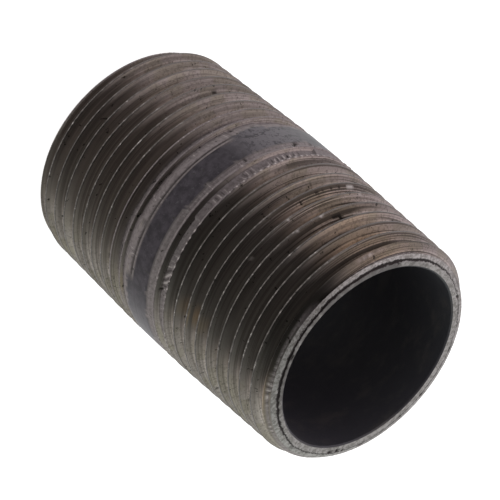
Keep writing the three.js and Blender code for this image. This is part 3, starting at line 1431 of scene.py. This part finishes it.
@dataclass(frozen=True)
class Studio:
    """Plain pale floor, soft light from the sides and the back, and the photograph's camera."""

    centre_height: float
    floor_size: float = 6.0
    floor_colour: Colour = (0.4, 0.4, 0.4)
    floor_glow: float = 0.95
    left_wall: Colour = (1.28, 1.22, 1.28)
    right_wall: Colour = (1.22, 1.33, 1.26)
    ceiling: Colour = (0.005, 0.005, 0.005)
    wall_turn: float = 0.6
    wall_foot: float = 0.1
    wall_top: float = 1.0
    wall_lean: float = 0.35
    lens: float = 220.18
    sensor: float = 36.0
    camera_distance: float = 0.3952
    camera_elevation: float = math.radians(37.18)
    camera_roll: float = math.radians(131.455)
    aim_shift: tuple[float, float, float] = (-0.00028, 0.00017, 0.00023)
    nearest: float = 0.01
    farthest: float = 20.0
    boxes: tuple[SoftBox, ...] = (
        SoftBox("left_box", -77.0, 60.0, 0.5, 0.46, 0.34, 0.8, (1.0, 0.95, 0.97)),
        SoftBox("right_box", 66.0, 48.0, 0.5, 0.34, 0.34, 0.107, (0.92, 1.0, 0.95)),
    )

    def set_up(self) -> None:
        """Makes the floor, the light and the camera."""
        self.lay_floor()
        self.hang_boxes()
        self.colour_surround()
        self.place_camera()

    def lay_floor(self) -> None:
        """Lays the pale floor that the nipple stands on."""
        half = self.floor_size / 2.0
        mesh = bpy.data.meshes.new("floor")
        corners = [(-half, -half, 0.0), (half, -half, 0.0), (half, half, 0.0), (-half, half, 0.0)]
        mesh.from_pydata(corners, [], [(0, 1, 2, 3)])
        material = bpy.data.materials.new("pale_floor")
        nodes = Nodes(material)
        nodes.finish(
            base_color=self.floor_colour,
            roughness=0.9,
            emission_color=(1.0, 1.0, 1.0),
            emission_strength=self.floor_glow,
        )
        mesh.materials.append(material)
        floor = bpy.data.objects.new("floor", mesh)
        bpy.context.scene.collection.objects.link(floor)

    def hang_boxes(self) -> None:
        """Hangs the soft lights round the nipple, each turned towards it."""
        centre = Vector((0.0, 0.0, self.centre_height))
        for box in self.boxes:
            lamp = bpy.data.lights.new(box.name, "AREA")
            lamp.shape = "RECTANGLE"
            lamp.size = box.width
            lamp.size_y = box.height
            lamp.energy = box.power
            lamp.color = box.colour
            azimuth, elevation = math.radians(box.azimuth), math.radians(box.elevation)
            flat = math.cos(elevation)
            away = Vector((math.sin(azimuth) * flat, math.cos(azimuth) * flat, math.sin(elevation)))
            light = bpy.data.objects.new(box.name, lamp)
            light.location = centre + away * box.distance
            light.rotation_mode = "QUATERNION"
            light.rotation_quaternion = away.to_track_quat("Z", "Y")
            bpy.context.scene.collection.objects.link(light)

    def colour_surround(self) -> None:
        """Gives the room its pale walls, which fade into a dark ceiling."""
        world = bpy.data.worlds.new("studio_surround")
        nodes = Nodes(world, "Background")
        towards = nodes.node("ShaderNodeTexCoord", {}, {}).outputs["Generated"]
        parts = nodes.node("ShaderNodeSeparateXYZ", {}, {0: towards}).outputs
        to_right = Value(nodes, parts["X"]).ramp(-self.wall_turn, self.wall_turn)
        height = Value(nodes, parts["Z"]) - Value(nodes, parts["Y"]) * self.wall_lean
        to_top = height.ramp(self.wall_foot, self.wall_top)
        walls = nodes.blend(to_right, self.left_wall, self.right_wall)
        nodes.finish(color=nodes.blend(to_top, walls, self.ceiling))
        bpy.context.scene.world = world

    def place_camera(self) -> None:
        """Places the camera at the photograph's angle and rolls it as the photograph is."""
        lens = bpy.data.cameras.new("photo_camera")
        lens.lens = self.lens
        lens.sensor_width = self.sensor
        lens.clip_start = self.nearest
        lens.clip_end = self.farthest
        back = Vector((0.0, -math.cos(self.camera_elevation), math.sin(self.camera_elevation)))
        aim = Vector(self.aim_shift) + Vector((0.0, 0.0, self.centre_height))
        camera = bpy.data.objects.new("photo_camera", lens)
        level = back.to_track_quat("Z", "Y")
        camera.rotation_mode = "QUATERNION"
        camera.rotation_quaternion = Quaternion(back, self.camera_roll) @ level
        camera.location = aim + back * self.camera_distance
        bpy.context.scene.collection.objects.link(camera)
        bpy.context.scene.camera = camera
        bpy.context.scene.view_settings.view_transform = "Standard"


def main() -> None:
    """Builds the nipple and the studio round it."""
    logging.basicConfig(level=logging.INFO, format="%(name)s: %(message)s")
    low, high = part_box(NODE)
    sizes = PipeSizes(length=(high[2] - low[2]) / MM, radius=(high[0] - low[0]) / 2.0 / MM)
    nipple = NippleBody(sizes, SkinGrid(), WearAndLight()).build()
    for finish in (ThreadFinish(), RimFinish(), BoreFinish()):
        nipple.data.materials.append(finish.material())
    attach(nipple, "root")
    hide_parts(NODE)
    LOG.info("%s: %d points, %d faces", nipple.name, len(nipple.data.vertices), len(nipple.data.polygons))
    Studio(centre_height=sizes.length / 2.0 * MM).set_up()


if __name__ == "__main__":
    main()
